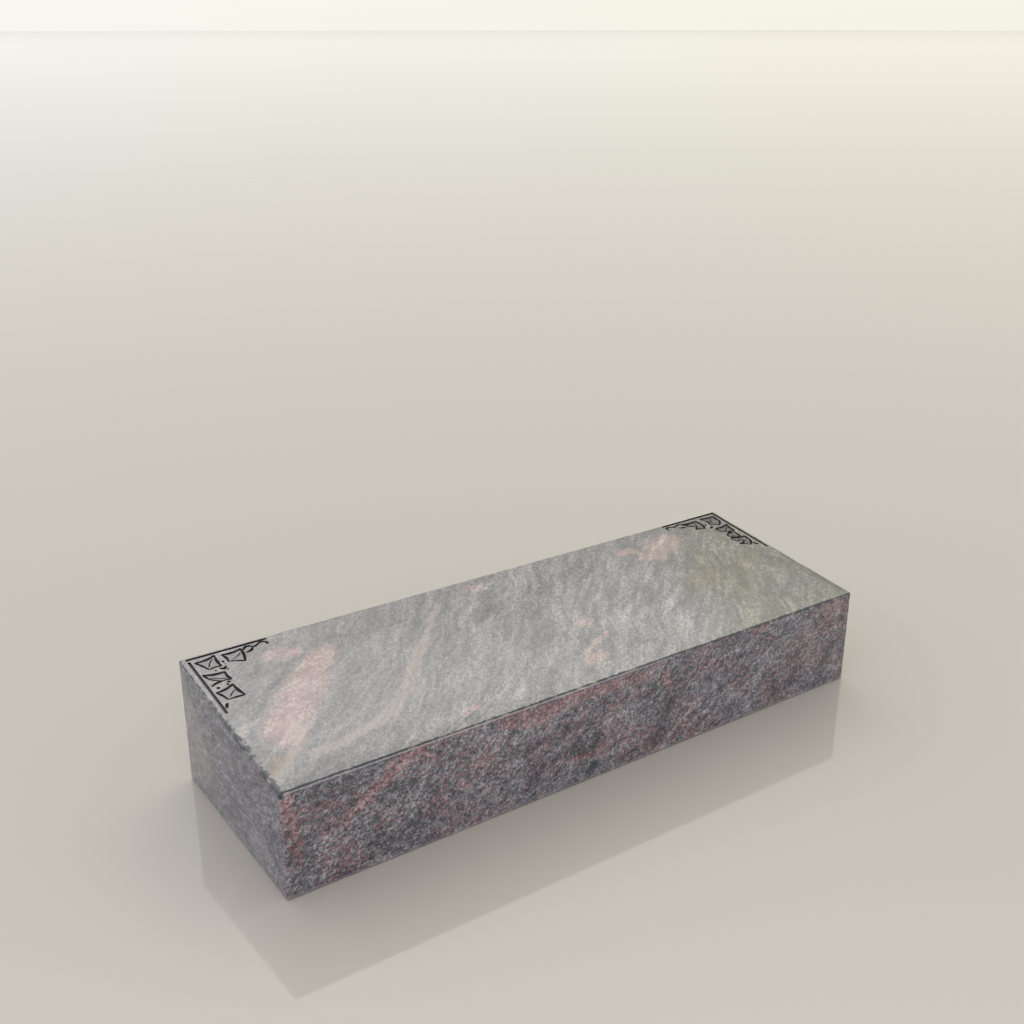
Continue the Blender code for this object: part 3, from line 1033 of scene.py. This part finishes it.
def stone_pattern(n, sides=()):
    """Sockets of the stone itself: its colour, its lightness, its grains and where a point lies.
    sides names the faces whose streaks it has."""
    point = n.node("ShaderNodeTexCoord").outputs["Object"]
    away = block_distances(n, point)
    x = away["x"]
    flowing, clouds, bands, ribbons, threads = foliation(n, point)
    tone, kind, small = grains(n, point)

    # How light the stone is, from fine speckle and broad streaks that each face shows differently
    near_top = n.range(away["top"], NEAR_FACE, ON_FACE)
    near_front = n.range(away["front"], NEAR_FACE, ON_FACE)
    top = n.range(away["top"], 0.0025, 0.0005)
    end = n.math("MULTIPLY", n.range(away["ends"], 0.0025, 0.0005),
                 n.range(away["front"], 0.001, 0.004))
    speckle = n.weighted(0.0, (threads, 0.62), (tone, 0.34), (small, 0.30))
    streaky = n.weighted(0.0, (bands, 0.44), (ribbons, 0.62), (clouds, 0.16))
    fine_share = n.math("MULTIPLY_ADD", top, n.range(x, -0.40, 0.35, -0.50, -0.22), 1.0)
    fine_share = n.math("MULTIPLY_ADD", end, -0.34, fine_share)
    broad_share = n.math("MULTIPLY_ADD", top, n.range(x, -0.40, 0.38, -0.32, 0.26), 1.0)
    body = n.math("MULTIPLY_ADD", streaky, broad_share, 0.5)
    body = n.math("MULTIPLY_ADD", speckle, fine_share, body)
    masks = placed_streaks(n, point, near_top, near_front, sides) if sides else {}
    for name, mask in masks.items():
        body = n.math("MULTIPLY_ADD", mask, STREAK_LIFTS[name], body)
    # The top darkened towards its right end: painted shade where less light falls
    right_end_painted_shade = n.math("MULTIPLY", n.range(x, 0.08, 0.40), near_top)
    body = n.math("MULTIPLY_ADD", right_end_painted_shade, -0.11, body)
    if "pink" in masks:
        mottle = n.weighted(0.0, (ribbons, 0.60), (tone, 0.22))
        body = n.math("MULTIPLY_ADD", masks["pink"], mottle, body)

    colour = n.ramp(body, STONE_TONES)
    colour = add_feldspar(n, colour, body, kind, flowing, masks, top, end)
    colour = add_casts(n, colour, away, flowing, masks, top)
    return {"point": point, "colour": colour, "body": body, "tone": tone, "away": away}


def arris_wear_and_painted_light(n, s):
    """Shares of a dark broken line along the arrises, partly worn chips and partly painted shade,
    with a painted contact shadow along the base; and of a painted highlight line below the front
    arris and along the foot of the front.
    """
    away, x = s["away"], s["away"]["x"]
    side = n.math("MINIMUM", away["back"], away["ends"])
    strength = n.noise(s["point"], 85.0, 3.0, 0.65)
    wander = n.range(n.noise(s["point"], 240.0, 2.0, 0.6), 0.3, 0.7, 0.7, 1.4, smooth=False)
    wander = n.math("MULTIPLY", wander, n.range(strength, 0.40, 0.60, 0.5, 1.25))
    reach = n.math("MULTIPLY", n.range(x, 0.05, 0.25, 0.0011, 0.0025), wander)
    inland = n.math("DIVIDE", away["front"], wander)
    # Dark line under the front arris: worn chips and painted shade
    front_wear_and_painted_shade = n.math("MULTIPLY", n.range(n.math("DIVIDE", away["top"], reach), 1.3, 0.8),
                        n.range(inland, 0.0032, 0.0022))
    front_wear_and_painted_shade = n.math("MULTIPLY", front_wear_and_painted_shade, n.range(strength, 0.40, 0.47))
    # Dark line on the end and back arrises: worn chips and painted shade
    end_reach = n.math("MULTIPLY", wander, n.range(away["front"], 0.10, 0.22, 0.0050, 0.0016))
    end_wear_and_painted_shade = n.math("MULTIPLY", n.range(n.math("DIVIDE", away["top"], end_reach), 1.2, 0.8),
                      n.range(n.math("DIVIDE", side, end_reach), 1.2, 0.8))
    end_wear_and_painted_shade = n.math("MULTIPLY", end_wear_and_painted_shade, n.range(strength, 0.45, 0.51))
    dark = n.math("MAXIMUM", front_wear_and_painted_shade, end_wear_and_painted_shade)
    # Painted highlight line on the front just under the top arris, fading out towards the right
    light = n.math("MULTIPLY", n.range(away["top"], 0.0009, 0.0015),
                   n.range(away["top"], 0.0036, 0.0028))
    light = n.math("MULTIPLY", light, n.range(away["front"], 0.0012, 0.0006))
    light = n.math("MULTIPLY", light, n.range(x, -0.05, 0.20, 1.0, 0.15))
    # Painted contact shadow along the base, in the dark arris colour
    painted_contact_shadow = n.range(away["base"], 0.0016, 0.0008)
    # Painted highlight line on the front just above the base
    foot = n.math("MULTIPLY", n.range(away["base"], 0.0016, 0.0024),
                  n.range(away["base"], 0.0046, 0.0036))
    foot = n.math("MULTIPLY", foot, n.range(away["front"], 0.004, 0.002, 0.0, 0.5))
    return n.math("MAXIMUM", dark, painted_contact_shadow), n.math("MAXIMUM", light, foot)


def granite_material(name, sides):
    material, n = new_material(name)
    s = stone_pattern(n, sides)
    dark, light = arris_wear_and_painted_light(n, s)
    # The painted arris highlight, then the arris line of wear and painted shade with the painted
    # contact shadow
    colour = n.mix(n.math("MULTIPLY", light, 0.60), s["colour"], ARRIS_PAINTED_HIGHLIGHT)
    colour = n.mix(n.math("MULTIPLY", dark, 0.92), colour, ARRIS_WORN_AND_PAINTED_SHADE)
    n.put(n.shader.inputs["Base Color"], colour)
    grip = n.range(s["body"], 0.15, 0.95, 0.115, 0.07, smooth=False)
    grip = n.math("ADD", grip, n.math("MULTIPLY", n.math("MAXIMUM", dark, light), 0.25))
    n.put(n.shader.inputs["Roughness"], grip)
    n.bump(0.05, 0.0004, s["tone"])
    n.shader.inputs["IOR"].default_value = POLISHED_IOR
    return material


def frosted_material():
    material, n = new_material("granite_frosted")
    s = stone_pattern(n)
    frost = n.range(n.noise(s["point"], 900.0, 3.0, 0.7), 0.3, 0.7, 0.45, 0.65)
    # Frosted ground colour, darker towards the right end as painted shade
    frost_tone_with_painted_shade = n.mix(n.range(s["away"]["x"], -0.2, 0.2), FROST_LEFT, FROST_RIGHT_PAINTED_SHADE)
    colour = n.mix(frost, s["colour"], frost_tone_with_painted_shade)
    n.put(n.shader.inputs["Base Color"], colour)
    n.put(n.shader.inputs["Roughness"], n.range(s["body"], 0.2, 0.9, 0.62, 0.5))
    n.bump(0.5, 0.00025, n.noise(s["point"], 1600.0, 3.0, 0.7))
    return material


def paint_material():
    material, n = new_material("groove_paint")
    point = n.node("ShaderNodeTexCoord").outputs["Object"]
    patchy = n.noise(point, 260.0, 3.0, 0.6)
    colour = n.ramp(patchy, PAINT_TONES)
    away = block_distances(n, point)
    # Paler floor in the side bars: painted light where light falls into the channel
    floor = n.math("MULTIPLY", n.range(away["top"], 0.0022, 0.0024),
                   n.range(away["back"], 0.010, 0.012))
    colour = n.mix(n.math("MULTIPLY", floor, 0.8), colour, BAR_FLOOR_PAINTED_LIGHT)
    n.put(n.shader.inputs["Base Color"], colour)
    n.put(n.shader.inputs["Roughness"], n.range(patchy, 0.3, 0.7, 0.70, 0.85))
    n.shader.inputs["Specular IOR Level"].default_value = 0.10
    n.bump(0.4, 0.00015, n.noise(point, 1300.0, 3.0, 0.7))
    return material


# Stage


# The dome's light at a share of the way from the horizon to straight up: behind the marker, where
# the polished top mirrors a bright bank of sky, and everywhere else
DOME_BEHIND = (
    (0.00, 0.90), (0.28, 1.15), (0.42, 1.42), (0.54, 1.90), (0.63, 2.95), (0.72, 3.95),
    (0.80, 2.70), (0.88, 1.00), (1.00, 0.80),
)
DOME_AROUND = (
    (0.00, 1.50), (0.28, 1.48), (0.50, 1.22), (0.68, 1.02), (0.85, 0.84), (1.00, 0.78),
)
DOME_BRIGHTEST = 4.0
BANK_DIRECTION = (0.61, 0.79, 0.0)
BANK_TINT = (1.0, 1.0, 0.962)
LEFT_TINT = (1.29, 1.31, 1.46)
RIGHT_TINT = (0.97, 0.95, 0.86)

# The key light stands at the front left and is aimed at the middle of the marker
KEY_PLACE = (-1.4, -2.4, 2.0)
KEY_SIZE = 1.6
KEY_POWER = 20.0
KEY_COLOUR = (1.0, 0.98, 0.99)
LIGHT_TARGET = Vector((0.0, 0.0, 0.08))

FLOOR_COLOUR = (0.362, 0.338, 0.305, 1.0)
FLOOR_IOR = 1.32
FLOOR_SIZE = 300.0

# The camera fitted to the corners of the block in the photo
CAMERA_PLACE = (-0.887964, -1.230673, 0.920617)
CAMERA_TURN = (1.195929, 0.0, -0.599046)
CAMERA_LENS = 43.35
SENSOR_WIDTH = 36.0


def floor_material():
    material, n = new_material("studio_floor")
    n.shader.inputs["Base Color"].default_value = FLOOR_COLOUR
    n.shader.inputs["Roughness"].default_value = 0.05
    n.shader.inputs["IOR"].default_value = FLOOR_IOR
    return material


def make_floor():
    bm = bmesh.new()
    bmesh.ops.create_grid(bm, x_segments=1, y_segments=1, size=FLOOR_SIZE)
    mesh = bpy.data.meshes.new("studio_floor")
    bm.to_mesh(mesh)
    bm.free()
    floor = new_object("studio_floor", mesh)
    mesh.materials.append(floor_material())


def make_world():
    """A pale dome with a bright bank of sky behind the marker, cooler at its left end."""
    world = bpy.data.worlds.new("studio")
    bpy.context.scene.world = world
    world.use_nodes = True
    n = Nodes(world.node_tree)
    way = n.node("ShaderNodeTexCoord").outputs["Generated"]
    parts = n.node("ShaderNodeSeparateXYZ")
    n.put(parts.inputs[0], way)
    x, z = parts.outputs[0], parts.outputs[2]
    levels = []
    for stops in (DOME_AROUND, DOME_BEHIND):
        stops = [(place, (value / DOME_BRIGHTEST,) * 3) for place, value in stops]
        levels.append(n.ramp(z, stops, "B_SPLINE"))
    levels[1] = n.vector("MULTIPLY", levels[1], BANK_TINT)
    behind = n.vector("DOT_PRODUCT", way, BANK_DIRECTION, out=1)
    light = n.mix(n.range(behind, 0.18, 0.62), *levels)
    light = n.scaled(light, DOME_BRIGHTEST)
    cool = n.mix(n.range(x, -0.15, -0.9), (1.0, 1.0, 1.0), LEFT_TINT)
    warm = n.mix(n.range(x, -0.1, 0.9), cool, RIGHT_TINT)
    light = n.vector("MULTIPLY", light, warm)
    back = n.tree.nodes["Background"]
    back.inputs["Strength"].default_value = 1.0
    n.put(back.inputs["Color"], light)


def make_key_light():
    data = bpy.data.lights.new("key_softbox", "AREA")
    data.shape = "DISK"
    data.size = KEY_SIZE
    data.energy = KEY_POWER
    data.color = KEY_COLOUR
    light = new_object("key_softbox", data)
    light.location = KEY_PLACE
    aim = LIGHT_TARGET - light.location
    light.rotation_euler = aim.to_track_quat("-Z", "Y").to_euler()


def make_camera():
    data = bpy.data.cameras.new("camera")
    data.sensor_width = SENSOR_WIDTH
    data.lens = CAMERA_LENS
    camera = new_object("camera", data)
    camera.location = CAMERA_PLACE
    camera.rotation_euler = CAMERA_TURN
    bpy.context.scene.camera = camera


bpy.context.scene.view_settings.view_transform = "Standard"
make_camera()
make_world()
make_floor()
make_key_light()

stones = (
    granite_material("granite_top", ("top",)),
    granite_material("granite_front", ("front",)),
    granite_material("granite_plain", ()),
    granite_material("granite_edges", ("top", "front")),
)
marker = carved_marker(stones, paint_material(), frosted_material())
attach(marker, "root")
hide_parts("granite_block")
